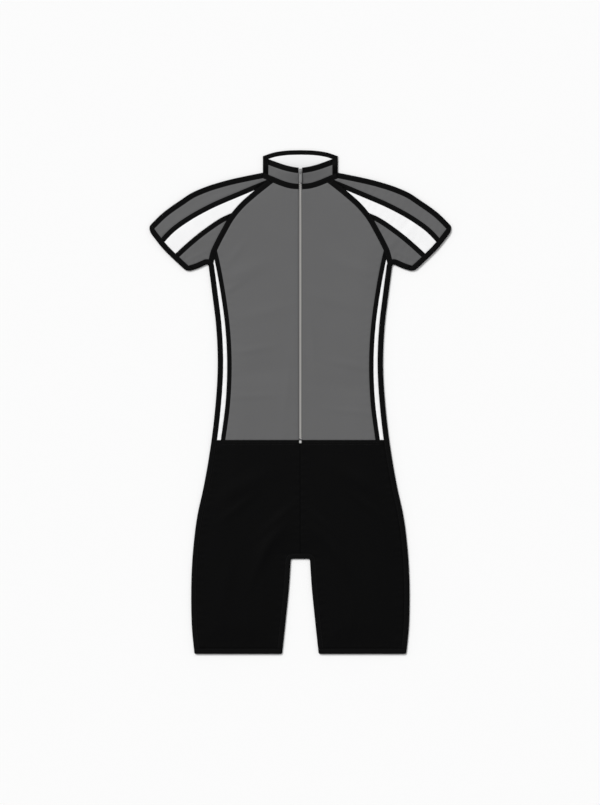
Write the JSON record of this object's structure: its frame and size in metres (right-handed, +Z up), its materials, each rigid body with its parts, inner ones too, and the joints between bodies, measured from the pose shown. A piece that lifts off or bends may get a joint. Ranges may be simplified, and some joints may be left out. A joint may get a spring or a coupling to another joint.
{
  "type": "unitard",
  "caption": "Short-sleeved one-piece sports suit with a front zip and stand collar, raglan sleeves with a stripe, side stripes and short legs, laid flat.",
  "frame": {"origin": "middle of the suit's box, on the surface it lies on", "axes": "+X to the wearer's left, +Y towards the collar, +Z up from the surface, out of the suit's front"},
  "size_m": [0.604, 1.008, 0.0164],
  "materials": {
    "grey_knit": "matt stretch knit, mid grey",
    "black_knit": "matt stretch knit, black",
    "white_knit": "matt stretch knit, white",
    "black_tape": "black elastic tape",
    "zip_tape": "woven grey tape",
    "zip_coil": "light grey moulded coil",
    "zip_metal": "grey lacquered metal"
  },
  "bodies": {
    "suit": {"back_body": "grey_knit", "collar_back": "grey_knit", "collar_binding_back": "black_tape", "collar_binding_front_left": "black_tape", "collar_binding_front_right": "black_tape", "collar_facing": "white_knit", "collar_front_left": "grey_knit", "collar_front_right": "grey_knit", "collar_side_tape_left": "black_tape", "collar_side_tape_right": "black_tape", "cuff_band_left": "black_tape", "cuff_band_right": "black_tape", "front_body_left": "grey_knit", "front_body_right": "grey_knit", "inseam_tape": "black_tape", "leg_band_left": "black_tape", "leg_band_right": "black_tape", "neck_tape_back": "black_tape", "neck_tape_front_left": "black_tape", "neck_tape_front_right": "black_tape", "raglan_tape_back_left": "black_tape", "raglan_tape_back_right": "black_tape", "raglan_tape_front_left": "black_tape", "raglan_tape_front_right": "black_tape", "shorts_back_left": "black_knit", "shorts_back_right": "black_knit", "shorts_front_left": "black_knit", "shorts_front_right": "black_knit", "shoulder_tape_left": "black_tape", "shoulder_tape_right": "black_tape", "side_stripe_left": "white_knit", "side_stripe_right": "white_knit", "side_stripe_tape_left": "black_tape", "side_stripe_tape_right": "black_tape", "side_tape_left": "black_tape", "side_tape_right": "black_tape", "sleeve_back_left": "grey_knit", "sleeve_back_right": "grey_knit", "sleeve_lower_left": "grey_knit", "sleeve_lower_right": "grey_knit", "sleeve_stripe_left": "white_knit", "sleeve_stripe_right": "white_knit", "sleeve_tape_lower_left": "black_tape", "sleeve_tape_lower_right": "black_tape", "sleeve_tape_upper_left": "black_tape", "sleeve_tape_upper_right": "black_tape", "sleeve_upper_left": "grey_knit", "sleeve_upper_right": "grey_knit", "zip_chain": "zip_coil", "zip_slider": "zip_metal", "zip_stop": "zip_coil", "zip_tape_left": "zip_tape", "zip_tape_right": "zip_tape"},
    "pull_tab": {"zip_pull_tab": "zip_metal"}
  },
  "joints": [
    {"name": "pull_tab_hinge", "type": "hinge", "parent": "suit", "child": "pull_tab", "pos_m": [0, 0.46, 0.01373], "axis": [-1, 0, 0], "range_deg": [0, 165]}
  ]
}
